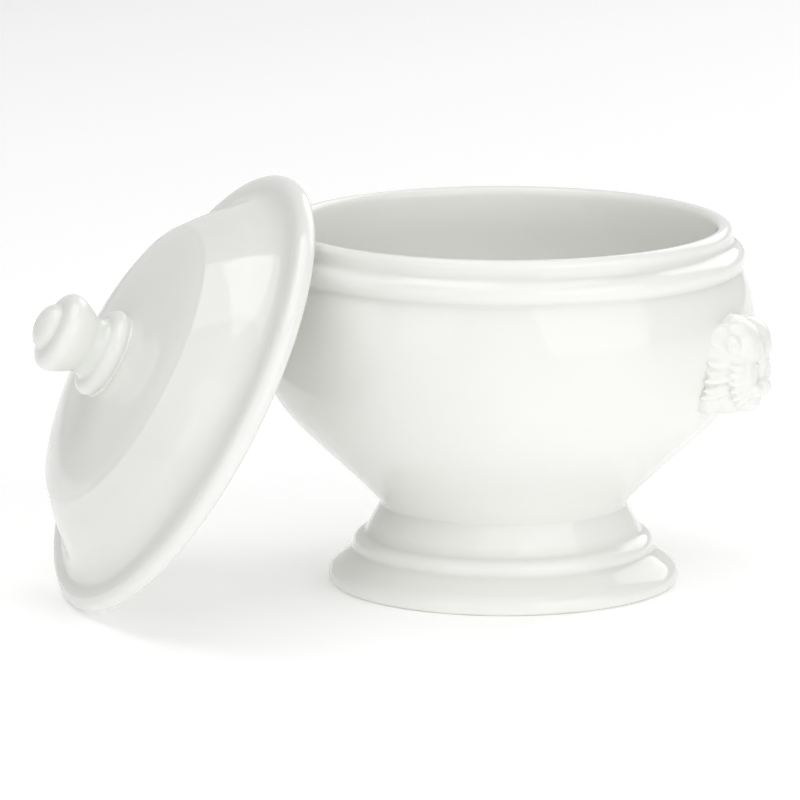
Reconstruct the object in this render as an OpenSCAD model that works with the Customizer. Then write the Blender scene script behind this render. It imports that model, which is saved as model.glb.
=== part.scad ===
// Porcelain sugar bowl on a pedestal foot, with two lion-head handles and a knobbed lid.
// The bowl stands on its foot at the origin, the lion heads look along +X and -X,
// and the lid leans on the bowl's rim with its brim on the table.

/* [Bowl] */
// Outside diameter of the lip
lip_d = 112.4; // [108:0.2:116]
// Thickness of the rounded lip
lip_t = 3.8; // [3.2:0.1:4.4]
// Height of the lip above the table
bowl_h = 90; // [88:0.5:92]
// Largest outside diameter of the belly
belly_d = 124; // [120:0.5:128]
// Height of the belly's widest circle
belly_z = 65; // [63:0.5:67]
// Height from the widest circle down to the belly's unseen lowest point
belly_drop = 43.5; // [42:0.5:45]
// Wall thickness at the belly
wall = 4; // [3.4:0.1:4.6]
// Largest diameter of the bead under the lip
bead_d = 119.1; // [118:0.1:120]
// Height of the middle of the bead
bead_z = 81.9; // [81:0.1:82.5]
// Radius of the bead's section
bead_r = 3.15; // [2.8:0.05:3.4]

/* [Foot] */
// Diameter at the waist, where the foot meets the bowl
waist_d = 60.8; // [58:0.2:64]
// Height of the waist
waist_z = 20; // [19:0.5:21]
// Diameter of the foot
foot_d = 87; // [84:0.5:90]
// Diameter of the crease under the flared neck
crease_d = 68.4; // [67:0.2:70]
// Diameter of the ledge between the moulding and the base
ledge_d = 74.8; // [73:0.2:76]
// Wall thickness of the foot
foot_wall = 4.4; // [3.8:0.1:5]

/* [Lion heads] */
// Height of the middle of a head
head_z = 59.5; // [57:0.5:61]
// Height of a head
head_h = 26; // [24:0.5:28]
// Width of a head, mane included
head_w = 23; // [21:0.5:25]
// How far the nose stands out from the bowl's axis
nose_reach = 71.6; // [70:0.2:73]

/* [Lid] */
// Diameter of the brim
brim_d = 117; // [115:0.5:118]
// Thickness of the rolled brim
brim_t = 5.2; // [4.6:0.1:5.8]
// Diameter of the crease between the slope and the crown
crown_d = 74.6; // [72:0.2:77]
// Height of the crease above the brim's underside
crown_z = 19.2; // [18.5:0.1:20.5]
// Height of the flat that carries the knob
seat_z = 23.3; // [22.8:0.1:24.2]
// Outside diameter of the locating ring under the lid
ring_d = 99; // [97:0.5:101]
// Depth of the locating ring
ring_h = 2.6; // [2.2:0.1:3.2]
// Thickness of the locating ring and of the lid's wall
lid_wall = 3.8; // [3.4:0.1:4.2]

/* [Knob] */
// Diameter of the collar at the foot of the knob
collar_d = 22.4; // [21.5:0.1:23]
// Diameter of the knob's neck
neck_d = 14.8; // [14:0.1:15.6]
// Largest diameter of the knob
knob_d = 20; // [19:0.1:20.5]
// Diameter of the cap on top of the knob
cap_d = 11.6; // [11:0.1:12.5]
// Height of the knob
knob_h = 20.5; // [20:0.1:21.5]

/* [Lid beside the bowl] */
// Lean of the lid from level
lid_tilt = 61.4; // [61:0.1:62]
// Direction of the lid from the bowl, anticlockwise from +X
lid_turn = 223.6; // [220:0.1:230]
// Distance of the brim's centre from the bowl's axis
lid_reach = 82.4; // [82.4:0.1:84]
// Gap left under the brim
table_gap = 0.1; // [0.1:0.1:0.5]

/* [Hidden] */
$fn = 96;

lip_r = lip_d / 2;
belly_r = belly_d / 2;
waist_r = waist_d / 2;
foot_r = foot_d / 2;
crease_r = crease_d / 2;
ledge_r = ledge_d / 2;
brim_r = brim_d / 2;
crown_r = crown_d / 2;
ring_r = ring_d / 2;
collar_r = collar_d / 2;
neck_r = neck_d / 2;
knob_r = knob_d / 2;
cap_r = cap_d / 2;

// The belly is an oval of revolution; below cove_z its outside runs in a cove to the waist
cove_z = 40;
cove_angle = asin((cove_z - belly_z) / belly_drop);
cove_rise = [2.5, 4];
cove_run_in = [6, 6];
notch_angle = 19.4;
floor_t = 2.5;
floor_angle = -86;
inner_drop = belly_drop - floor_t;

// The bead and the lip meet in a groove; the inside narrows into a throat under the lip
bead_c = [bead_d / 2 - bead_r, bead_z];
bead_from = -48;
bead_to = 66;
groove_in = 0.8;
lip_foot = 0.6;
lip_c = [lip_r - lip_t / 2, bowl_h - lip_t / 2];
throat_z = 78;
throat_ease = 3;

// Outline of the foot, from the table up
foot_edge = 1.4;
foot_land = 3.3;
ledge_z = 8.5;
crease_z = 12.8;
ledge_bulge = 2.6;
step_in = 0.5;
neck_inset = 0.8;

// Sizes of the lion's features
mane_ball = 4.4;
brow_ball = 6.4;
chin_ball = 3.6;
lip_ball = 3.2;
nose_ball = 2.4;
root_depth = 2.2;

// Outline of the lid, from the brim up
slope_low_r = 48.6;
slope_low_z = 8;
brim_lap = 3.6;
crease_lip = 0.9;
crown_bulge = 2.2;
roof_t = lid_wall - 0.5;
slope_t = [2.8, 2.6];
ring_edge = 0.9;

// Sizes of the knob's parts
collar_h = 4.2;
swell_r = 2.75;
swell_gap = 3.2;
cap_h = 3.4;

glaze = [0.90, 0.91, 0.88];
glaze_shade = [0.87, 0.88, 0.85];

// Points along a circular arc, an oval arc and a cubic curve
function arc(c, r, a0, a1, n = 10) = oval(c, [r, r], a0, a1, n);
function oval(c, r, a0, a1, n = 12) =
    [for (i = [0:n]) let (a = a0 + (a1 - a0) * i / n) c + [r.x * cos(a), r.y * sin(a)]];
function curve(a, b, c, d, n = 10) =
    [for (i = [0:n]) let (t = i / n, s = 1 - t)
        s * s * s * a + 3 * s * s * t * b + 3 * s * t * t * c + t * t * t * d];

// A point on an oval at an angle, and the step in degrees to the next point after a joint
function on_oval(c, r, a) = c + [r.x * cos(a), r.y * sin(a)];
angle_step = 3;

// Turned shapes: an outline of [radius, height] points spun about the Z axis
module turned(outline) {
    rotate_extrude() polygon(outline);
}

// ---- Bowl ----

belly_c = [0, belly_z];
cove_top = on_oval(belly_c, [belly_r, belly_drop], cove_angle);
inner_size = [belly_r - wall, inner_drop];
throat_angle = asin((throat_z - belly_z) / inner_drop);
throat = on_oval(belly_c, inner_size, throat_angle);
lip_inner_r = lip_r - lip_t;

function bowl_outside() = concat(
    curve([waist_r, waist_z], [waist_r, waist_z] + cove_rise, cove_top - cove_run_in, cove_top),
    oval(belly_c, [belly_r, belly_drop], cove_angle + angle_step, notch_angle, 20),
    arc(bead_c, bead_r, bead_from, bead_to, 12),
    curve(bead_c + [groove_in, bead_r], [lip_r + 0.2, bead_z + bead_r], [lip_r, lip_c.y - 2 * lip_foot],
          [lip_r, lip_c.y - lip_foot], 4)
);
function bowl_inside() = concat(
    curve([lip_inner_r, lip_c.y - lip_foot], [lip_inner_r, lip_c.y - lip_t], throat + [-throat_ease / 2, throat_ease],
          throat, 6),
    oval(belly_c, inner_size, throat_angle - angle_step, floor_angle, 30)
);

module bowl() {
    color(glaze)
        turned(concat(
            [[0, waist_z]],
            bowl_outside(),
            arc(lip_c, lip_t / 2, 0, 180, 12),
            bowl_inside(),
            [[0, belly_z - inner_drop]]
        ));
}

// ---- Foot ----

hollow_r = waist_r - foot_wall - neck_inset;
land_r = foot_r - foot_edge - foot_land;
land_edge = 0.7;

function foot_outside() = concat(
    arc([foot_r - foot_edge, foot_edge], foot_edge, -90, 0, 5),
    curve([foot_r, 1.4 * foot_edge], [foot_r, 3.3 * foot_edge], [ledge_r + ledge_bulge, ledge_z - ledge_bulge],
          [ledge_r + step_in, ledge_z - step_in], 8),
    curve([ledge_r, ledge_z], [ledge_r, ledge_z + ledge_bulge], [crease_r + ledge_bulge, crease_z - 2 * step_in],
          [crease_r + step_in, crease_z - step_in], 8),
    curve([crease_r, crease_z], [crease_r - 2 * step_in, crease_z + ledge_bulge], [waist_r + 2 * step_in, waist_z - 2],
          [waist_r, waist_z], 6)
);
function foot_inside() = concat(
    curve([hollow_r, waist_z], [hollow_r, waist_z - foot_wall], [crease_r - foot_wall - foot_edge, crease_z + 1],
          [crease_r - foot_wall, crease_z - 2], 6),
    curve([ledge_r - foot_wall, ledge_z - 1], [ledge_r - foot_wall + foot_edge, ledge_z - foot_wall],
          [land_r, 3], [land_r, land_edge], 5)
);

module pedestal_foot() {
    color(glaze_shade)
        turned(concat(foot_outside(), foot_inside(), [[land_r + land_edge, 0]]));
}

// ---- Lion heads ----
// Built looking along +X: x is the distance from the bowl's axis, y runs across the face,
// and z is the height above the middle of the head.

half_h = head_h / 2;
half_w = head_w / 2;
root_x = belly_r - root_depth;

// A ball of clay at a place on the head
module dab(place, r) {
    translate(place) sphere(r = r, $fn = 24);
}

// The same ball on both cheeks
module pair(place, r) {
    dab(place, r);
    dab([place.x, -place.y, place.z], r);
}

module mane() {
    hull() {
        pair([root_x, half_w - mane_ball, mane_ball - half_h], mane_ball);
        pair([root_x + 0.6, half_w - mane_ball, 3], mane_ball);
        pair([root_x + 0.8, half_w - 1.7 * mane_ball, half_h - mane_ball], mane_ball);
    }
}

module face() {
    hull() {
        pair([nose_reach - 1.2 * brow_ball, 2.4, 5.6], brow_ball);
        dab([nose_reach - brow_ball, 0, -2.6], 6);
        dab([nose_reach - 2.3 * chin_ball, 0, -7.6], chin_ball);
    }
}

module muzzle() {
    hull() {
        pair([nose_reach - 1.4 * lip_ball, 2.2, -3.8], lip_ball);
        dab([nose_reach - nose_ball, 0, -2], nose_ball);
    }
}

module lion_head() {
    color(glaze)
        difference() {
            translate([0, 0, head_z]) {
                mane();
                face();
                muzzle();
            }
            turned(concat([[0, waist_z]], bowl_outside(), [[0, bowl_h - lip_t]]));
        }
}

module lion_head_right() {
    lion_head();
}

module lion_head_left() {
    rotate([0, 0, 180]) lion_head();
}

// ---- Lid, built level with the brim's underside at z = 0 ----

slope_low = [slope_low_r, slope_low_z];
inner_low = slope_low - slope_t;
inner_high = [crown_r, crown_z] - slope_t;

function lid_outside() = concat(
    arc([brim_r - brim_t / 2, brim_t / 2], brim_t / 2, -90, 90, 14),
    curve([brim_r - brim_lap, brim_t - 0.1], [brim_r - 2 * brim_lap, brim_t - 0.7], slope_low + [2, -2.4],
          slope_low, 8),
    curve(slope_low + [-0.8, 1], slope_low + [-brim_lap, 4.4], [crown_r + crown_bulge, crown_z - 1.8],
          [crown_r, crown_z], 8),
    curve([crown_r - crease_lip, crown_z + 0.2], [crown_r - 2 * crown_bulge, crown_z + crown_bulge],
          [1.9 * collar_r, seat_z - 0.2], [collar_r - 1, seat_z], 10)
);
function lid_inside() = concat(
    curve([collar_r, seat_z - roof_t], [1.75 * collar_r, seat_z - roof_t], inner_high + [-crown_bulge, 0.6 * crown_bulge],
          inner_high, 8),
    curve(inner_low + [-1, 1.1], inner_low, [ring_r - lid_wall + 0.6, ring_h], [ring_r - lid_wall, ring_edge], 5)
);

function lid_ring() = concat(
    [[ring_r + 0.4, 0], [ring_r, -0.4]],
    arc([ring_r - ring_edge, ring_edge - ring_h], ring_edge, 0, -90, 3),
    arc([ring_r - lid_wall + ring_edge, ring_edge - ring_h], ring_edge, -90, -180, 3)
);
function reversed(points) = [for (i = [len(points) - 1:-1:0]) points[i]];

module lid_shape() {
    turned(concat(
        [[0, seat_z]],
        reversed(lid_outside()),
        lid_ring(),
        reversed(lid_inside()),
        [[0, seat_z - roof_t]]
    ));
}

cap_z = seat_z + knob_h - cap_h;
swell_c = [knob_r - swell_r, cap_z - swell_gap];

module knob_shape() {
    turned(concat(
        [[0, seat_z]],
        arc([collar_r - collar_h / 2, seat_z + collar_h / 2], collar_h / 2, -90, 80, 8),
        curve([neck_r + 0.7, seat_z + collar_h + 0.2], [neck_r, seat_z + 1.15 * collar_h],
              [neck_r - 0.2, seat_z + 1.5 * collar_h], [neck_r, seat_z + 1.8 * collar_h], 5),
        curve([neck_r + 0.2, seat_z + 1.9 * collar_h], [neck_r + 0.9, seat_z + 2.2 * collar_h],
              swell_c + [1.9, -3.2], swell_c + [2.5, -1.4], 5),
        arc(swell_c, swell_r, -22, 78, 10),
        [[cap_r + 0.3, cap_z - 0.1]],
        oval([0, cap_z], [cap_r, cap_h], 6, 90, 10)
    ));
}

// Leans a level piece of the lid against the bowl
module leaning() {
    lean_z = (brim_r - brim_t / 2) * sin(lid_tilt) + brim_t / 2 + table_gap;
    rotate([0, 0, lid_turn])
        translate([lid_reach, 0, lean_z])
            rotate([0, lid_tilt, 0])
                translate([0, 0, -brim_t / 2])
                    children();
}

module lid() {
    color(glaze) leaning() lid_shape();
}

module lid_knob() {
    color(glaze_shade) leaning() knob_shape();
}

bowl();
pedestal_foot();
lion_head_right();
lion_head_left();
lid();
lid_knob();
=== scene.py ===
"""A porcelain sugar bowl on a pedestal foot, with two lion-head handles.

The lid leans against the bowl, as if just lifted off.
"""

from math import asin, atan2, cos, degrees, hypot, pi, radians, sin, sqrt

import bpy
import numpy as np
from mathutils import Matrix, Vector


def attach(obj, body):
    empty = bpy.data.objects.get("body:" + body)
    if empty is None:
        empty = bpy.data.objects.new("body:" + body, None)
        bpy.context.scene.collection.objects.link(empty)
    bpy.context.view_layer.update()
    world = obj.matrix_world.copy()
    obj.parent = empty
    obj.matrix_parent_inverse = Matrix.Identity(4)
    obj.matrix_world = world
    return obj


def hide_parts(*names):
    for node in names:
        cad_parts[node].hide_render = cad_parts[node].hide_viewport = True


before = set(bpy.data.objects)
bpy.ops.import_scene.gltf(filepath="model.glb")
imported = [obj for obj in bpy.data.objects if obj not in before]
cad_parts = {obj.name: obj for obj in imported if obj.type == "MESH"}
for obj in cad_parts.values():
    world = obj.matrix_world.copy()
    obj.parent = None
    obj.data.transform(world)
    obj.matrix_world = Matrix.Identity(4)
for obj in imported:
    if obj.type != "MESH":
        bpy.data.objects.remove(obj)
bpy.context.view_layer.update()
MM = 0.001

# ---------------------------------------------------------------- sizes, in millimetres
# R is a radius, T a thickness, H a height and C a centre. Z is a height above the table, or
# on the lid above the underside of its brim.

LIP_R, LIP_T, BOWL_H = 56.2, 3.8, 90.0
BELLY_R, BELLY_Z, BELLY_DROP, WALL = 62.0, 65.0, 43.5, 4.0
COVE_Z, NOTCH_ANGLE, FLOOR_T, THROAT_Z = 40.0, 19.4, 2.5, 78.0
BEAD_R, BEAD_C = 3.15, (56.4, 81.9)
WAIST_R, WAIST_Z = 30.4, 20.0
FOOT_R, FOOT_EDGE, FOOT_LAND, FOOT_WALL = 43.5, 1.4, 3.3, 4.4
LEDGE_R, LEDGE_Z = 37.4, 8.5
CREASE_R, CREASE_Z = 34.2, 12.8
BRIM_R, BRIM_T = 58.5, 5.2
CROWN_R, CROWN_Z, SEAT_Z = 37.3, 19.2, 23.3
SLOPE_LOW = (48.6, 8.0)
RING_R, RING_H, LID_WALL = 49.5, 2.6, 3.8
COLLAR_R, NECK_R, KNOB_R, CAP_R, KNOB_H = 11.2, 7.4, 10.0, 5.8, 20.5
CAP_H, COLLAR_H, SWELL_R = 3.4, 4.2, 2.75
LID_TILT, LID_TURN = 61.4, 223.6  # degrees
LID_REACH, TABLE_GAP = 82.4, 0.1
HEAD_Z = 59.5

TURNS, KNOB_TURNS, CORE_TURNS = 192, 128, 96  # steps of the wheel in one full turn
OUTLINE_STEP = 0.2  # spacing of the points that an outline is rounded off with
BEND_STEP, LONG_STEP = 3.0, 3.2  # a point is kept every so many degrees, or millimetres
GLAZE_MELT, KNOB_MELT = 0.32, 0.26  # how far the glaze rounds off a corner
HOLLOW_REACH = 1.6  # how far glaze runs into a hollow
HOLLOW_DEPTH = 0.4  # a hollow this deep is as full of glaze as it gets
RELIEF_ROUNDS, RELIEF_SOFTER = 14, 3  # rounds of averaging, for the skin and for its relief
RELIEF_DEPTH = 0.28  # full of glaze, in the small hollows of the heads
SPIN_GAP, SEAM_GAP = 0.002, 0.02  # points this close on a spun or cut piece become one
CRISP_TURNED, CRISP_MOULDED = radians(35), radians(45)  # sharper edges stay crisp
CLAY_VOXEL, CUTTER_VOXEL, HEAD_VOXEL = 0.26, 0.2, 0.24  # fineness of the fused heads


# ---------------------------------------------------------------- outlines for the wheel


def oval(centre, size, start, end, count):
    """Points along an oval, from one angle in degrees to another."""
    angles = [radians(start + (end - start) * i / count) for i in range(count + 1)]
    return [(centre[0] + size[0] * cos(a), centre[1] + size[1] * sin(a)) for a in angles]


def arc(centre, r, start, end, count):
    """Points along a circle, from one angle in degrees to another."""
    return oval(centre, (r, r), start, end, count)


def curve(a, b, c, d, count):
    """Points along a cubic curve that leaves a towards b and reaches d from c."""
    points = []
    for i in range(count + 1):
        t = i / count
        s = 1 - t
        w = (s * s * s, 3 * s * s * t, 3 * s * t * t, t * t * t)
        points.append(tuple(
            w[0] * a[k] + w[1] * b[k] + w[2] * c[k] + w[3] * d[k] for k in (0, 1)
        ))
    return points


def spaced(outline):
    """The same line with points at even steps."""
    p = np.array(outline, float)
    run = np.r_[0, np.cumsum(np.hypot(*np.diff(p, axis=0).T))]
    at = np.linspace(0, run[-1], int(run[-1] / OUTLINE_STEP) + 1)
    return np.c_[np.interp(at, run, p[:, 0]), np.interp(at, run, p[:, 1])]


def melted(line, reach):
    """Rounds every corner over about reach, keeping both ends where they are."""
    out = line.copy()
    last = len(line) - 1
    for i in range(1, last):
        span = min(int(3 * reach / OUTLINE_STEP), i, last - i)
        k = np.arange(-span, span + 1)
        w = np.exp(-0.5 * (k * OUTLINE_STEP / reach) ** 2)
        out[i] = (line[i - span : i + span + 1] * w[:, None]).sum(0) / w.sum()
    return out


def thinned(line):
    """Keeps a point wherever the line has turned or run far enough since the last one."""
    keep = [0]
    for i in range(1, len(line) - 1):
        a, b = line[keep[-1] + 1] - line[keep[-1]], line[i + 1] - line[i]
        turn = abs(degrees(atan2(a[0] * b[1] - a[1] * b[0], a @ b)))
        if turn >= BEND_STEP or hypot(*(line[i] - line[keep[-1]])) >= LONG_STEP:
            keep.append(i)
    return line[keep + [len(line) - 1]]


# ---------------------------------------------------------------- the wheel


def only(piece):
    """Selects one piece and nothing else."""
    if bpy.context.object and bpy.context.object.mode != "OBJECT":
        bpy.ops.object.mode_set(mode="OBJECT")
    bpy.ops.object.select_all(action="DESELECT")
    piece.select_set(True)
    bpy.context.view_layer.objects.active = piece


def use_modifier(piece, kind, **settings):
    """Adds one modifier, sets it and applies it."""
    only(piece)
    modifier = piece.modifiers.new(kind.title(), kind)
    for name, value in settings.items():
        setattr(modifier, name, value)
    bpy.ops.object.modifier_apply(modifier=modifier.name)


def turned(name, outline, melt=GLAZE_MELT, turns=TURNS):
    """Draws one vertex out from point to point along half a section, and spins it solid."""
    fine = melted(spaced(outline), melt)
    line = thinned(fine)
    bpy.ops.object.select_all(action="DESELECT")
    bpy.ops.mesh.primitive_plane_add(size=MM, location=(line[0][0] * MM, 0, line[0][1] * MM))
    piece = bpy.context.object
    piece.name = piece.data.name = name
    bpy.ops.object.transform_apply(location=True, rotation=True, scale=True)
    bpy.ops.object.mode_set(mode="EDIT")
    bpy.ops.mesh.select_all(action="SELECT")
    bpy.ops.mesh.merge(type="CENTER")
    for a, b in zip(line, line[1:]):
        move = ((b[0] - a[0]) * MM, 0, (b[1] - a[1]) * MM)
        bpy.ops.mesh.extrude_vertices_move(TRANSFORM_OT_translate={"value": move})
    bpy.ops.mesh.select_all(action="SELECT")
    bpy.ops.mesh.spin(steps=turns, angle=2 * pi, center=(0, 0, 0), axis=(0, 0, 1))
    bpy.ops.mesh.select_all(action="SELECT")
    bpy.ops.mesh.remove_doubles(threshold=SPIN_GAP * MM)
    bpy.ops.mesh.normals_make_consistent(inside=False)
    bpy.ops.object.mode_set(mode="OBJECT")
    bpy.ops.object.shade_smooth_by_angle(angle=CRISP_TURNED)
    mark_hollows(piece, fine, melted(fine, HOLLOW_REACH))
    return piece


def mark_hollows(piece, line, eased):
    """Stores on each point whether it lies in a hollow, where glaze pools, or on an edge.

    line is the fine outline and eased the same line after much rounding. The value is 1 deep
    in a hollow, 0 on a sharp edge and 0.5 on a plain wall.
    """
    along = np.gradient(line, axis=0)
    normal = np.c_[along[:, 1], -along[:, 0]] / np.maximum(np.hypot(*along.T), 1e-9)[:, None]
    r, z = line.T
    way = np.sign(r @ np.roll(z, -1) - z @ np.roll(r, -1))
    depth = way * ((eased - line) * normal).sum(1)
    co = np.empty(len(piece.data.vertices) * 3)
    piece.data.vertices.foreach_get("co", co)
    co = co.reshape(-1, 3) / MM
    section = np.c_[np.hypot(co[:, 0], co[:, 1]), co[:, 2]].round(2)
    spots, place = np.unique(section, axis=0, return_inverse=True)
    nearest = np.array([np.argmin(((line - spot) ** 2).sum(1)) for spot in spots])
    hollow = np.clip(0.5 + depth[nearest][place.ravel()] / (2 * HOLLOW_DEPTH), 0, 1)
    layer = piece.data.attributes.new("hollow", "FLOAT", "POINT")
    layer.data.foreach_set("value", hollow.astype(np.float32))


# ---------------------------------------------------------------- bowl

belly_c = (0.0, BELLY_Z)
cove_angle = degrees(asin((COVE_Z - BELLY_Z) / BELLY_DROP))
inner_size = (BELLY_R - WALL, BELLY_DROP - FLOOR_T)
throat_angle = degrees(asin((THROAT_Z - BELLY_Z) / inner_size[1]))
lip_c = (LIP_R - LIP_T / 2, BOWL_H - LIP_T / 2)


def on_oval(centre, size, angle):
    """The point of an oval at an angle in degrees."""
    return oval(centre, size, angle, angle, 1)[0]


cove_top = on_oval(belly_c, (BELLY_R, BELLY_DROP), cove_angle)
throat = on_oval(belly_c, inner_size, throat_angle)

belly_outline = curve(
    (WAIST_R, WAIST_Z), (WAIST_R + 2.5, WAIST_Z + 4),
    (cove_top[0] - 6, cove_top[1] - 6), cove_top, 16,
) + oval(belly_c, (BELLY_R, BELLY_DROP), cove_angle + 2, NOTCH_ANGLE, 60)
bowl_outline = (
    [(0.0, WAIST_Z + 0.4)]
    + belly_outline
    + arc(BEAD_C, BEAD_R, -48, 66, 24)
    + curve(
        (BEAD_C[0] + 0.8, BEAD_C[1] + BEAD_R), (LIP_R + 0.2, BEAD_C[1] + BEAD_R),
        (LIP_R, lip_c[1] - 1.2), (LIP_R, lip_c[1] - 0.6), 8,
    )
    + arc(lip_c, LIP_T / 2, 0, 180, 24)
    + curve(
        (LIP_R - LIP_T, lip_c[1] - 0.6), (LIP_R - LIP_T, lip_c[1] - LIP_T),
        (throat[0] - 1.5, throat[1] + 3), throat, 10,
    )
    + oval(belly_c, inner_size, throat_angle - 2, -90, 80)
)
bowl = turned("bowl_wall", bowl_outline)

# ---------------------------------------------------------------- foot

LAND_R = FOOT_R - FOOT_EDGE - FOOT_LAND
HOLLOW_R = WAIST_R - FOOT_WALL - 0.8
JOIN_Z = WAIST_Z + 0.9  # the stem reaches a little way up into the bowl's wall
SOFT = 0.5  # how far a curve stops short of a corner
PULL = 2.6  # how far a curve's handle reaches from a corner
foot_outline = (
    arc((FOOT_R - FOOT_EDGE, FOOT_EDGE), FOOT_EDGE, -90, 0, 12)
    + curve(
        (FOOT_R, 1.96), (FOOT_R, 4.62),
        (LEDGE_R + PULL, LEDGE_Z - PULL), (LEDGE_R + SOFT, LEDGE_Z - SOFT), 16,
    )
    + curve(
        (LEDGE_R, LEDGE_Z), (LEDGE_R, LEDGE_Z + PULL),
        (CREASE_R + PULL, CREASE_Z - 1), (CREASE_R + SOFT, CREASE_Z - SOFT), 12,
    )
    + curve(
        (CREASE_R, CREASE_Z), (CREASE_R - 1, CREASE_Z + PULL),
        (WAIST_R + 1, WAIST_Z - 2), (WAIST_R, WAIST_Z), 12,
    )
    + [(WAIST_R + 0.55, JOIN_Z), (WAIST_R - 1.2, JOIN_Z), (HOLLOW_R, JOIN_Z)]
    + curve(
        (HOLLOW_R, WAIST_Z), (HOLLOW_R, WAIST_Z - FOOT_WALL),
        (CREASE_R - FOOT_WALL - 1.4, CREASE_Z + 1), (CREASE_R - FOOT_WALL, CREASE_Z - 2), 12,
    )
    + curve(
        (LEDGE_R - FOOT_WALL, LEDGE_Z - 1), (LEDGE_R - FOOT_WALL + 1.4, LEDGE_Z - FOOT_WALL),
        (LAND_R, 3), (LAND_R, 0.7), 12,
    )
    + [(LAND_R + 0.7, 0.0), (FOOT_R - FOOT_EDGE, 0.0)]
)
foot = turned("foot_ring_and_stem", foot_outline)

# ---------------------------------------------------------------- lid and knob
# Both are turned level and then leaned.

ROOF = LID_WALL - 0.5
ROOF_IN, ROOF_DOWN = 2.8, 2.6  # from the slope's outside to its inside
RING_EDGE = 0.9  # rounding of the ring's lower edge
inner_low = (SLOPE_LOW[0] - ROOF_IN, SLOPE_LOW[1] - ROOF_DOWN)
inner_high = (CROWN_R - ROOF_IN, CROWN_Z - ROOF_DOWN)
cove_start = (SLOPE_LOW[0] - 1.9, SLOPE_LOW[1] + 1.88)
lid_outside = (
    arc((BRIM_R - BRIM_T / 2, BRIM_T / 2), BRIM_T / 2, -90, 90, 28)
    + curve(
        (BRIM_R - 3.6, BRIM_T - 0.1), (BRIM_R - 7.2, BRIM_T - 0.7),
        (SLOPE_LOW[0] + 0.6, SLOPE_LOW[1] - 0.9), cove_start, 16,
    )
    + curve(
        (cove_start[0] - 0.8, cove_start[1] + 0.85), (SLOPE_LOW[0] - 3.6, SLOPE_LOW[1] + 4.4),
        (CROWN_R + 2.2, CROWN_Z - 1.8), (CROWN_R, CROWN_Z), 16,
    )
    + curve(
        (CROWN_R - 0.9, CROWN_Z + 0.2), (CROWN_R - 4.4, CROWN_Z + 2.2),
        (21.6, SEAT_Z - 0.2), (COLLAR_R - 1, SEAT_Z), 20,
    )
)
lid_under = (
    [(RING_R + 0.4, 0.0), (RING_R, -0.4)]
    + arc((RING_R - RING_EDGE, RING_EDGE - RING_H), RING_EDGE, 0, -90, 6)
    + arc((RING_R - LID_WALL + RING_EDGE, RING_EDGE - RING_H), RING_EDGE, -90, -180, 6)
    + curve(
        (RING_R - LID_WALL, 0.9), (RING_R - LID_WALL + 0.6, RING_H),
        inner_low, (inner_low[0] - 1, inner_low[1] + 1.1), 10,
    )
    + curve(
        inner_high, (inner_high[0] - 2.2, inner_high[1] + 1.32),
        (1.75 * COLLAR_R, SEAT_Z - ROOF), (COLLAR_R, SEAT_Z - ROOF), 14,
    )
)
lid_outline = [(0.0, SEAT_Z)] + lid_outside[::-1] + lid_under + [(0.0, SEAT_Z - ROOF)]
lid = turned("lid_dome_and_brim", lid_outline)

SUNK = 0.6  # the knob starts this far inside the crown
cap_z = SEAT_Z + KNOB_H - CAP_H
swell_c = (KNOB_R - SWELL_R, cap_z - 3.2)
knob_outline = (
    [(0.0, SEAT_Z - SUNK), (COLLAR_R - 0.9, SEAT_Z - SUNK), (COLLAR_R - 0.2, SEAT_Z + 0.2)]
    + arc((COLLAR_R - COLLAR_H / 2, SEAT_Z + COLLAR_H / 2), COLLAR_H / 2, -50, 80, 16)
    + curve(
        (NECK_R + 0.7, SEAT_Z + COLLAR_H + 0.2), (NECK_R, SEAT_Z + 4.83),
        (NECK_R - 0.2, SEAT_Z + 6.3), (NECK_R, SEAT_Z + 7.56), 10,
    )
    + curve(
        (NECK_R + 0.2, SEAT_Z + 7.98), (NECK_R + 0.9, SEAT_Z + 9.24),
        (swell_c[0] + 1.9, swell_c[1] - 3.2), (swell_c[0] + 2.5, swell_c[1] - 1.4), 10,
    )
    + arc(swell_c, SWELL_R, -22, 78, 18)
    + [(CAP_R + 0.3, cap_z - 0.1)]
    + oval((0, cap_z), (CAP_R, CAP_H), 6, 90, 20)
)
knob = turned("lid_knob_turned", knob_outline, melt=KNOB_MELT, turns=KNOB_TURNS)


def lean(piece):
    """Tips a level piece of the lid over and sets its brim on the table against the bowl."""
    tilt, turn = radians(LID_TILT), radians(LID_TURN)
    lift = (BRIM_R - BRIM_T / 2) * sin(tilt) + BRIM_T / 2 + TABLE_GAP
    only(piece)
    piece.matrix_world = (
        Matrix.Rotation(turn, 4, "Z")
        @ Matrix.Translation((LID_REACH * MM, 0, lift * MM))
        @ Matrix.Rotation(tilt, 4, "Y")
        @ Matrix.Translation((0, 0, -BRIM_T / 2 * MM))
    )
    bpy.ops.object.transform_apply(location=True, rotation=True, scale=True)


lean(lid)
lean(knob)

# ---------------------------------------------------------------- lion heads
# Modelled on the right, looking along +X. A place is (out from the bowl's axis, across,
# above the head's middle).

HEAD_SINK = 0.5  # how far a head reaches into the bowl's wall
CORE_TOP = 80.0  # above the heads
LOCK_LENGTH = 6.4
LOCK_R, LOCK_WIDER = 0.9, 1.35  # at the root
# one step of a lock's tip: how far along, how far up, and how much it widens
LOCK_STEPS = (
    (1.2, 0.0, 1.12),
    (1.3, 0.0, 1.05),
    (1.3, -0.1, 0.95),
    (1.2, -0.25, 0.82),
    (0.9, -0.35, 0.66),
    (0.5, -0.3, 0.45),
)
# degrees above the line across the face
OUTER_LOCKS = (58, 44, 33, 20, 10, -2, -11, -24, -34, -49, -60, -76, -92)
INNER_LOCKS = (20, 7, -5, -17, -30, -44, -58)


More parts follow.
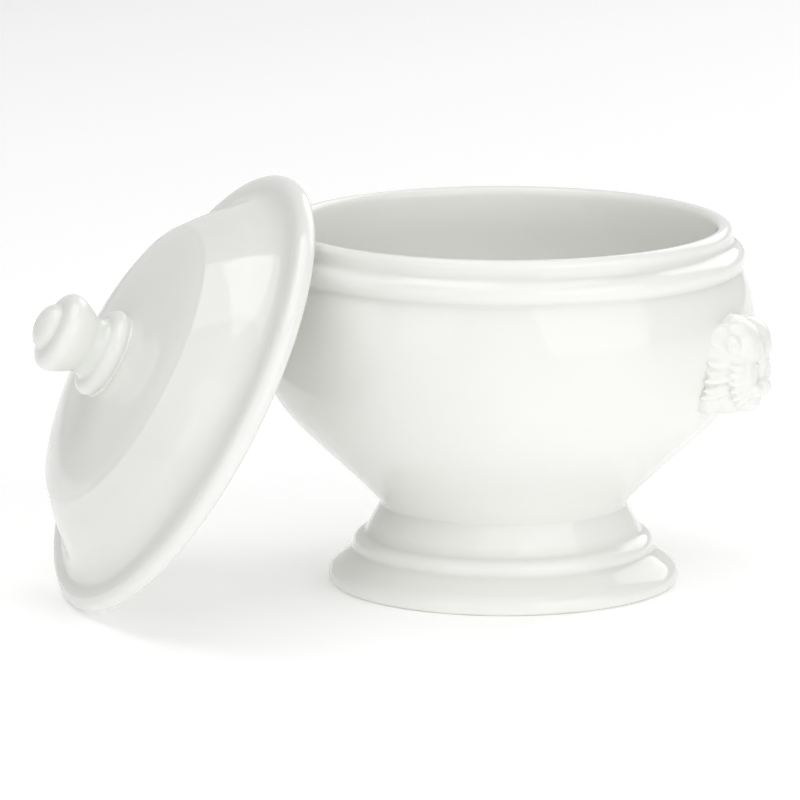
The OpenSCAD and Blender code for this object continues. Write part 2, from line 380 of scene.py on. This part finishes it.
def dab(place, size, tip=0.0, roll=0.0):
    """A pressed ball of clay. tip leans it about the across axis, roll about the line of sight."""
    bpy.ops.object.select_all(action="DESELECT")
    bpy.ops.mesh.primitive_uv_sphere_add(
        segments=28, ring_count=18, radius=MM,
        location=(place[0] * MM, place[1] * MM, (HEAD_Z + place[2]) * MM),
        rotation=(radians(roll), radians(tip), 0), scale=size,
    )
    return bpy.context.object


def both(place, size, roll=0.0):
    """The same dab on both sides of the face."""
    mirrored = (place[0], -place[1], place[2])
    return [dab(place, size, roll=roll), dab(mirrored, size, roll=-roll)]


def joined(name, pieces):
    """Joins pieces into one object with its place in its mesh."""
    bpy.ops.object.select_all(action="DESELECT")
    for p in pieces:
        p.select_set(True)
    bpy.context.view_layer.objects.active = pieces[0]
    bpy.ops.object.join()
    whole = bpy.context.object
    whole.name = whole.data.name = name
    bpy.ops.object.transform_apply(location=True, rotation=True, scale=True)
    return whole


def hair_lock():
    """One tapering lock of the mane along +X, drawn out of a disc, with its tip curling down."""
    bpy.ops.object.select_all(action="DESELECT")
    bpy.ops.mesh.primitive_circle_add(
        vertices=12, radius=LOCK_R * MM, fill_type="NGON",
        rotation=(0, pi / 2, 0), scale=(1.0, LOCK_WIDER, 1.0),
    )
    lock = bpy.context.object
    bpy.ops.object.transform_apply(location=True, rotation=True, scale=True)
    bpy.ops.object.mode_set(mode="EDIT")
    bpy.ops.mesh.select_all(action="SELECT")
    for along, up, width in LOCK_STEPS:
        move = (along * MM, up * MM, 0)
        bpy.ops.mesh.extrude_region_move(TRANSFORM_OT_translate={"value": move})
        bpy.ops.transform.resize(value=(width, width, width))
    bpy.ops.mesh.select_all(action="SELECT")
    bpy.ops.mesh.normals_make_consistent(inside=False)
    bpy.ops.object.mode_set(mode="OBJECT")
    use_modifier(lock, "SUBSURF", levels=1, render_levels=1)
    return lock


def belly_at(across, height):
    """How far out the belly's surface is at a place on the head."""
    r = BELLY_R * sqrt(1 - ((HEAD_Z + height - BELLY_Z) / BELLY_DROP) ** 2)
    return sqrt(r * r - across * across)


def cut_away(piece, cutter):
    """Cuts one closed piece out of another and removes the cutter."""
    use_modifier(piece, "BOOLEAN", operation="DIFFERENCE", solver="EXACT", object=cutter)
    bpy.data.objects.remove(cutter)


def close_seam(piece):
    """Merges the near-double points that a cut leaves along its edge."""
    only(piece)
    bpy.ops.object.mode_set(mode="EDIT")
    bpy.ops.mesh.select_all(action="SELECT")
    bpy.ops.mesh.remove_doubles(threshold=SEAM_GAP * MM)
    bpy.ops.mesh.dissolve_degenerate(threshold=SEAM_GAP * MM)
    bpy.ops.mesh.normals_make_consistent(inside=False)
    bpy.ops.object.mode_set(mode="OBJECT")


def laid_lock(source, root, tip, flip):
    """A copy of the lock from its root to its tip, flat side on the head, flipped or not."""
    copy = source.copy()
    copy.data = source.data.copy()
    bpy.context.scene.collection.objects.link(copy)
    root, tip = (Vector((p[0], p[1], HEAD_Z + p[2])) * MM for p in (root, tip))
    along = (tip - root).normalized()
    face = Vector((1, 0, 0)).cross(along).normalized()
    face = along.cross(face).normalized()
    side = face.cross(along)
    if flip:
        side = -side
    turn = Matrix((along, side, face)).transposed().to_4x4()
    size = (tip - root).length / (LOCK_LENGTH * MM)
    copy.matrix_world = Matrix.Translation(root) @ turn @ Matrix.Diagonal((size, 1, 1, 1))
    return copy


def mane():
    """Locks that run out from the cheeks to the belly, on both sides and under the chin."""
    lock = hair_lock()
    locks = []
    for side in (-1, 1):
        for i, angle in enumerate(OUTER_LOCKS):
            a = radians(angle)
            odd = i % 2  # every other lock lies deeper and ends shorter
            out = 65.8 - 0.016 * abs(angle) - 0.4 * odd
            root = (out, side * (9.0 - 0.5 * odd) * cos(a), 0.4 + 8.8 * sin(a))
            across = (12.9 - 0.6 * odd) * max(cos(a), 0.05) ** 0.6
            height = -0.6 + 12.2 * sin(a)
            tip = (belly_at(across, height) + 0.4, side * across, height)
            locks.append(laid_lock(lock, root, tip, side > 0))
        for angle in INNER_LOCKS:
            a = radians(angle)
            root = (68.2, side * 6.6 * cos(a), 0.4 + 7.4 * sin(a))
            tip = (65.4, side * 10.2 * cos(a), -0.6 + 10.4 * sin(a))
            locks.append(laid_lock(lock, root, tip, side > 0))
    bpy.data.objects.remove(lock)
    return locks


def lion_head():
    """Presses dabs and locks into one skin, carves it and fits it to the belly."""
    clay = [
        dab((60.5, 0, 3.4), (9.7, 9.4, 9.2)),  # skull
        dab((60.4, 0, -6.2), (7.0, 9.2, 6.0)),  # lower half
        dab((65.0, 0, -8.2), (4.2, 4.6, 3.2)),  # chin
        dab((69.1, 0, 1.2), (1.8, 2.3, 5.4), tip=2),  # bridge of the nose
        dab((69.8, 0, -3.8), (1.6, 2.6, 1.6)),  # nose
    ]
    for place, size, roll in (
        ((64.2, 2.7, 5.4), (6.5, 6.2, 6.6), 0),  # forehead
        ((63.6, 3.6, -0.6), (6.5, 5.6, 8.2), 0),  # cheeks, from the front to the back
        ((61.8, 6.2, 3.0), (5.4, 5.0, 8.4), 0),
        ((59.6, 8.0, 2.4), (4.2, 4.2, 8.6), 0),
        ((58.6, 6.6, -6.4), (4.0, 4.4, 5.2), 0),  # jaw
        ((69.1, 3.1, 4.4), (1.7, 2.9, 1.3), -12),  # brow
        ((67.0, 4.9, -1.6), (2.9, 2.6, 3.6), 0),  # cheekbone
        ((68.5, 2.3, -5.2), (2.6, 2.8, 2.3), 0),  # muzzle
        ((65.4, 7.9, 6.4), (2.3, 2.5, 2.8), 10),  # ear
    ):
        clay += both(place, size, roll)
    head = joined("lion_head_right_moulded", clay + mane())
    use_modifier(head, "REMESH", mode="VOXEL", voxel_size=CLAY_VOXEL * MM)
    use_modifier(head, "SMOOTH", factor=0.5, iterations=4)
    carving = [dab((71.6, 0, -6.4), (0.8, 0.26, 1.1))]  # cleft of the lip
    for place, size, roll in (
        ((70.7, 3.3, 1.3), (1.5, 1.7, 1.0), -8),  # eye socket
        ((71.7, 1.2, -4.6), (0.7, 0.45, 0.35), 0),  # nostril
        ((70.4, 2.0, -7.6), (2.0, 2.4, 0.3), -14),  # mouth
        ((67.2, 9.9, 6.4), (1.2, 0.9, 1.6), 10),  # hollow of the ear
    ):
        carving += both(place, size, roll)
    cutters = joined("carving", carving)
    use_modifier(cutters, "REMESH", mode="VOXEL", voxel_size=CUTTER_VOXEL * MM)
    cut_away(head, cutters)
    eyes = both((69.0, 3.3, 1.1), (1.2, 1.2, 0.8))
    head = joined("lion_head_right_moulded", [head] + eyes)
    use_modifier(head, "REMESH", mode="VOXEL", voxel_size=HEAD_VOXEL * MM)
    use_modifier(head, "SMOOTH", factor=0.5, iterations=10)
    sunk_belly = [(r - HEAD_SINK, z) for r, z in belly_outline]
    core_outline = [(0.0, WAIST_Z)] + sunk_belly + [(0.0, CORE_TOP)]
    cut_away(head, turned("belly_core", core_outline, turns=CORE_TURNS))
    close_seam(head)
    bpy.ops.object.shade_smooth_by_angle(angle=CRISP_MOULDED)
    mark_relief(head)
    return head


def mark_relief(piece):
    """Stores on each point whether it lies below the skin around it (1) or above it (0)."""
    mesh = piece.data
    co = np.empty(len(mesh.vertices) * 3)
    normal = co.copy()
    mesh.vertices.foreach_get("co", co)
    mesh.vertices.foreach_get("normal", normal)
    co, normal = co.reshape(-1, 3), normal.reshape(-1, 3)
    ends = np.empty(len(mesh.edges) * 2, np.int64)
    mesh.edges.foreach_get("vertices", ends)
    ends = ends.reshape(-1, 2)
    count = np.bincount(ends.ravel(), minlength=len(co))[:, None] + 1.0

    def eased(values):
        """Each value averaged with those at the other ends of its point's edges."""
        total = values.copy()
        for a, b in ((0, 1), (1, 0)):
            for k in range(values.shape[1]):
                other = values[ends[:, b], k]
                total[:, k] += np.bincount(ends[:, a], weights=other, minlength=len(values))
        return total / count

    around = co
    for _ in range(RELIEF_ROUNDS):
        around = eased(around)
    depth = ((around - co) * normal).sum(1, keepdims=True) / MM
    for _ in range(RELIEF_SOFTER):
        depth = eased(depth)
    hollow = np.clip(0.5 + depth[:, 0] / (2 * RELIEF_DEPTH), 0, 1)
    layer = mesh.attributes.get("hollow") or mesh.attributes.new("hollow", "FLOAT", "POINT")
    layer.data.foreach_set("value", hollow.astype(np.float32))


right_head = lion_head()
left_head = right_head.copy()
left_head.data = right_head.data.copy()
left_head.name = left_head.data.name = "lion_head_left_moulded"
bpy.context.scene.collection.objects.link(left_head)
left_head.matrix_world = Matrix.Rotation(pi, 4, "Z")
only(left_head)
bpy.ops.object.transform_apply(location=True, rotation=True, scale=True)

# ---------------------------------------------------------------- shader nodes


def feed(tree, socket, value):
    """Links an output to a socket, or sets the socket to a plain value."""
    if isinstance(value, bpy.types.NodeSocket):
        tree.links.new(value, socket)
    else:
        socket.default_value = value


def maths(tree, operation, *values):
    """One step of arithmetic."""
    node = tree.nodes.new("ShaderNodeMath")
    node.operation = operation
    for socket, value in zip(node.inputs, values):
        feed(tree, socket, value)
    return node.outputs[0]


def noise(tree, where, scale, detail=2.0, rough=0.5):
    """A cloudy pattern from 0 to 1."""
    node = tree.nodes.new("ShaderNodeTexNoise")
    settings = {"Vector": where, "Scale": scale, "Detail": detail, "Roughness": rough}
    for name, value in settings.items():
        feed(tree, node.inputs[name], value)
    return node.outputs["Fac"]


def ramp(tree, source, low, high, to_low=0.0, to_high=1.0):
    """Turns low to high into to_low to to_high, and holds both ends."""
    node = tree.nodes.new("ShaderNodeMapRange")
    names = ("Value", "From Min", "From Max", "To Min", "To Max")
    for name, value in zip(names, (source, low, high, to_low, to_high)):
        feed(tree, node.inputs[name], value)
    return node.outputs["Result"]


def mixed(tree, kind, share, a, b):
    """Mixes two colours (kind RGBA) or two numbers (kind FLOAT)."""
    node = tree.nodes.new("ShaderNodeMix")
    node.data_type = kind
    feed(tree, node.inputs[0], share)
    # the node has inputs A and B once for every kind, so the last two of this kind are picked
    wanted = "VALUE" if kind == "FLOAT" else kind
    pair = [s for s in node.inputs if s.type == wanted][-2:]
    for socket, value in zip(pair, (a, b)):
        feed(tree, socket, value)
    return next(s for s in node.outputs if s.type == wanted)


# ---------------------------------------------------------------- glaze

BODY = (0.87, 0.875, 0.845, 1)
POOLED = (0.77, 0.785, 0.75, 1)
EDGE = (0.90, 0.90, 0.885, 1)
CLOUD = (0.66, 0.66, 0.62, 1)
IRON = (0.42, 0.38, 0.32, 1)
CLAY_DARK, CLAY_PALE = (0.60, 0.56, 0.50, 1), (0.72, 0.69, 0.64, 1)
POOL_STARTS, POOL_FULL = 0.54, 0.86  # values of the hollow attribute
EDGE_STARTS, EDGE_SHARP = 0.47, 0.2
EDGE_SHARE, CLOUD_SHARE, SPECK_SHARE = 0.6, 0.05, 0.3
SPECK_SCALE, SPECK_CHANCE = 160.0, 0.025
PATCH_SCALE, BROAD_SCALE, SKIN_SCALE, PIT_SCALE = 220.0, 46.0, 900.0, 3200.0
WANDER_SCALE, GRAIN_SCALE = 120.0, 2600.0
GLOSSIEST, DULLEST, CLAY_ROUGHNESS = 0.04, 0.08, 0.75
SKIN_HEIGHT, PIT_DEPTH = 0.028, 0.02  # against the broad ripple's 1
RIPPLE_DISTANCE = 0.4  # millimetres
GLAZE_IOR = 1.5
BARE_WANDER, BARE_FADE = 0.5, 0.12  # millimetres


def glaze_group():
    """Porcelain glaze, greener where it pools and whiter on edges, with a soft ripple."""
    tree = bpy.data.node_groups.new("porcelain_glaze", "ShaderNodeTree")
    for name, kind, value in (
        ("Glaze Colour", "NodeSocketColor", (0.8, 0.8, 0.78, 1)),
        ("Pooled Colour", "NodeSocketColor", (0.7, 0.72, 0.68, 1)),
        ("Edge Colour", "NodeSocketColor", (0.85, 0.85, 0.84, 1)),
        ("Hollow", "NodeSocketFloat", 0.5),
        ("Pooling", "NodeSocketFloat", 0.5),
        ("Cloud Scale", "NodeSocketFloat", 60.0),
    ):
        socket = tree.interface.new_socket(name=name, in_out="INPUT", socket_type=kind)
        socket.default_value = value
    for name, kind in (
        ("Colour", "NodeSocketColor"),
        ("Roughness", "NodeSocketFloat"),
        ("Height", "NodeSocketFloat"),
    ):
        tree.interface.new_socket(name=name, in_out="OUTPUT", socket_type=kind)
    given = tree.nodes.new("NodeGroupInput").outputs
    out = tree.nodes.new("NodeGroupOutput").inputs
    where = tree.nodes.new("ShaderNodeTexCoord").outputs["Object"]

    deep = ramp(tree, given["Hollow"], POOL_STARTS, POOL_FULL)
    sharp = ramp(tree, given["Hollow"], EDGE_STARTS, EDGE_SHARP)
    pooled = maths(tree, "MULTIPLY", deep, given["Pooling"])
    thin = maths(tree, "MULTIPLY", sharp, EDGE_SHARE)
    colour = mixed(tree, "RGBA", pooled, given["Glaze Colour"], given["Pooled Colour"])
    colour = mixed(tree, "RGBA", thin, colour, given["Edge Colour"])

    # faint clouds in the white
    spread = tree.nodes.new("ShaderNodeVectorMath")
    spread.operation = "SCALE"
    feed(tree, spread.inputs[0], where)
    feed(tree, spread.inputs["Scale"], given["Cloud Scale"])
    clouds = noise(tree, spread.outputs[0], 1.0, 3.0)
    cloudy = ramp(tree, clouds, 0.3, 0.7, 0.0, CLOUD_SHARE)
    colour = mixed(tree, "RGBA", cloudy, colour, CLOUD)

    # a rare speck of iron under the glaze: each cell draws a number, and few cells get one
    specks = tree.nodes.new("ShaderNodeTexVoronoi")
    feed(tree, specks.inputs["Scale"], SPECK_SCALE)
    feed(tree, specks.inputs["Vector"], where)
    drawn = tree.nodes.new("ShaderNodeSeparateColor")
    feed(tree, drawn.inputs[0], specks.outputs["Color"])
    chosen = maths(tree, "GREATER_THAN", drawn.outputs[0], 1 - SPECK_CHANCE)
    spot = maths(tree, "MULTIPLY", ramp(tree, specks.outputs["Distance"], 0.05, 0.02), chosen)
    colour = mixed(tree, "RGBA", maths(tree, "MULTIPLY", spot, SPECK_SHARE), colour, IRON)
    feed(tree, out["Colour"], colour)

    # gloss: a little duller in patches
    patches = noise(tree, where, PATCH_SCALE, 4.0, 0.6)
    feed(tree, out["Roughness"], ramp(tree, patches, 0.3, 0.75, GLOSSIEST, DULLEST))

    # ripple: the broad wander of the hand, the fine skin of the glaze, and pinholes
    broad = noise(tree, where, BROAD_SCALE, 2.0, 0.4)
    skin = maths(tree, "MULTIPLY", noise(tree, where, SKIN_SCALE), SKIN_HEIGHT)
    pits = ramp(tree, noise(tree, where, PIT_SCALE, 1.0), 0.78, 0.86)
    height = maths(tree, "ADD", broad, skin)
    height = maths(tree, "ADD", height, maths(tree, "MULTIPLY", pits, -PIT_DEPTH))
    feed(tree, out["Height"], height)
    return tree


GLAZE = glaze_group()


def wiped(tree, bare_below, colour, rough):
    """Colour and roughness with bare clay below a height, along a slightly wandering line."""
    where = tree.nodes.new("ShaderNodeTexCoord").outputs["Object"]
    split = tree.nodes.new("ShaderNodeSeparateXYZ")
    feed(tree, split.inputs[0], where)
    wander = noise(tree, where, WANDER_SCALE)
    line = maths(tree, "MULTIPLY_ADD", wander, -BARE_WANDER * MM, split.outputs["Z"])
    bare = ramp(tree, line, bare_below, bare_below - BARE_FADE * MM)
    clay = mixed(tree, "RGBA", noise(tree, where, GRAIN_SCALE), CLAY_DARK, CLAY_PALE)
    colour = mixed(tree, "RGBA", bare, colour, clay)
    return colour, mixed(tree, "FLOAT", bare, rough, CLAY_ROUGHNESS)


def porcelain(name, pooling, ripple=0.12, bare_below=None):
    """A glazed porcelain, left bare below a height where a foot is wiped before firing."""
    material = bpy.data.materials.new(name)
    material.use_nodes = True
    tree = material.node_tree
    shader = tree.nodes["Principled BSDF"]
    group = tree.nodes.new("ShaderNodeGroup")
    group.node_tree = GLAZE
    hollow = tree.nodes.new("ShaderNodeAttribute")
    hollow.attribute_name = "hollow"
    for socket, value in (
        ("Glaze Colour", BODY),
        ("Pooled Colour", POOLED),
        ("Edge Colour", EDGE),
        ("Pooling", pooling),
        ("Hollow", hollow.outputs["Fac"]),
    ):
        feed(tree, group.inputs[socket], value)
    bump = tree.nodes.new("ShaderNodeBump")
    bump.inputs["Strength"].default_value = ripple
    bump.inputs["Distance"].default_value = RIPPLE_DISTANCE * MM
    feed(tree, bump.inputs["Height"], group.outputs["Height"])
    feed(tree, shader.inputs["Normal"], bump.outputs["Normal"])
    shader.inputs["IOR"].default_value = GLAZE_IOR
    colour, rough = group.outputs["Colour"], group.outputs["Roughness"]
    if bare_below is not None:
        colour, rough = wiped(tree, bare_below, colour, rough)
    feed(tree, shader.inputs["Base Color"], colour)
    feed(tree, shader.inputs["Roughness"], rough)
    return material


turned_glaze = porcelain("turned porcelain glaze", pooling=0.55)
foot_glaze = porcelain("footed porcelain glaze", pooling=0.6, bare_below=0.05 * MM)
moulded_glaze = porcelain("moulded porcelain glaze", pooling=0.8, ripple=0.08)


def dress(piece, material, body, node):
    """Gives a piece its glaze, hangs it under the empty of the body that carries it, and hides the
    node it replaces.
    """
    piece.data.materials.clear()
    piece.data.materials.append(material)
    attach(piece, body)
    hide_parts(node)


dress(bowl, turned_glaze, "bowl", "bowl")
dress(foot, foot_glaze, "bowl", "pedestal_foot")
dress(right_head, moulded_glaze, "bowl", "lion_head_right")
dress(left_head, moulded_glaze, "bowl", "lion_head_left")
dress(lid, turned_glaze, "lid", "lid")
dress(knob, turned_glaze, "lid", "lid_knob")

# ---------------------------------------------------------------- studio

FACING = radians(26)  # the camera's direction round the object
CAMERA_BACK, CAMERA_UP = 1.7, 0.38  # metres
CAMERA_PAN, CAMERA_DIP = 0.8664, 11.1423  # degrees
CAMERA_SENSOR, CAMERA_LENS = 36.0, 314.55  # millimetres
FLOOR_SIZE = 12  # metres
FLOOR_WHITE, FLOOR_GLOW = (0.93, 0.93, 0.93, 1), 0.22
AIM = Vector((0, 0, 0.06))  # where the lights point
FRONT_GLOW, BACK_GLOW, SIDE_GLOW = 1.04, 0.8, 0.25  # of the room's walls
WALL_FALLOFF = 2.0  # how fast a wall's glow fades towards its edges

camera_data = bpy.data.cameras.new("camera")
camera = bpy.data.objects.new("camera", camera_data)
bpy.context.scene.collection.objects.link(camera)
bpy.context.scene.camera = camera
camera_data.sensor_width = CAMERA_SENSOR
camera_data.lens = CAMERA_LENS
camera_data.clip_start, camera_data.clip_end = 0.05, 20.0
camera.location = (CAMERA_BACK * sin(FACING), -CAMERA_BACK * cos(FACING), CAMERA_UP)
camera.rotation_euler = (radians(90 - CAMERA_DIP), 0, FACING + radians(CAMERA_PAN))

bpy.ops.object.select_all(action="DESELECT")
bpy.ops.mesh.primitive_plane_add(size=FLOOR_SIZE, location=(0, 0, 0))
floor = bpy.context.object
floor.name = "floor"
paper = bpy.data.materials.new("white paper")
paper.use_nodes = True
surface = paper.node_tree.nodes["Principled BSDF"].inputs
surface["Base Color"].default_value = FLOOR_WHITE
surface["Roughness"].default_value = 0.9
surface["Emission Color"].default_value = (1, 1, 1, 1)
surface["Emission Strength"].default_value = FLOOR_GLOW
floor.data.materials.append(paper)


def softbox(name, azimuth, height, distance, width, tall, power):
    """A rectangular soft light. azimuth is degrees round from the camera, to the right."""
    a, h = FACING + radians(azimuth), radians(height)
    across, back, up = sin(a) * cos(h), -cos(a) * cos(h), sin(h)
    place = Vector((distance * across, distance * back, distance * up)) + AIM
    bpy.ops.object.light_add(type="AREA", location=place)
    light = bpy.context.object
    light.name = name
    light.data.shape = "RECTANGLE"
    light.data.size, light.data.size_y = width, tall
    light.data.energy = power
    light.rotation_euler = (AIM - place).to_track_quat("-Z", "Y").to_euler()


# name, degrees round and up, then metres away, wide and tall, then watts
for lamp in (
    ("window_right", 44, 21, 1.3, 1.20, 1.05, 4.6),
    ("skylight", 0, 55, 1.5, 1.0, 0.8, 1.7),
    ("window_left", -37, 17, 1.5, 0.68, 0.95, 1.3),
    ("overhead", 0, 88, 1.6, 1.4, 1.4, 8.6),
    ("over_the_lid", -100, 68, 1.4, 0.9, 0.9, 2.8),
    ("behind_right", 150, 30, 1.5, 1.0, 1.0, 4.4),
):
    softbox(*lamp)


def white_room(walls):
    """A white room that is brighter towards each (direction, strength) in walls."""
    world = bpy.data.worlds.new("white room")
    bpy.context.scene.world = world
    world.use_nodes = True
    tree = world.node_tree
    room = tree.nodes["Background"].inputs
    room["Color"].default_value = (1, 1, 0.99, 1)
    looking = tree.nodes.new("ShaderNodeTexCoord").outputs["Generated"]
    total = 0.0
    for direction, strength in walls:
        facing = tree.nodes.new("ShaderNodeVectorMath")
        facing.operation = "DOT_PRODUCT"
        feed(tree, facing.inputs[0], looking)
        facing.inputs[1].default_value = direction
        lit = maths(tree, "MAXIMUM", facing.outputs["Value"], 0.0)
        soft = maths(tree, "POWER", lit, WALL_FALLOFF)
        total = maths(tree, "MULTIPLY_ADD", soft, strength, total)
    feed(tree, room["Strength"], total)


TO_CAMERA = Vector((sin(FACING), -cos(FACING), 0))
TO_RIGHT = Vector((cos(FACING), sin(FACING), 0))
white_room((
    (TO_CAMERA, FRONT_GLOW),
    (-TO_CAMERA, BACK_GLOW),
    (TO_RIGHT, SIDE_GLOW),
    (-TO_RIGHT, SIDE_GLOW),
))

bpy.context.scene.view_settings.view_transform = "Standard"
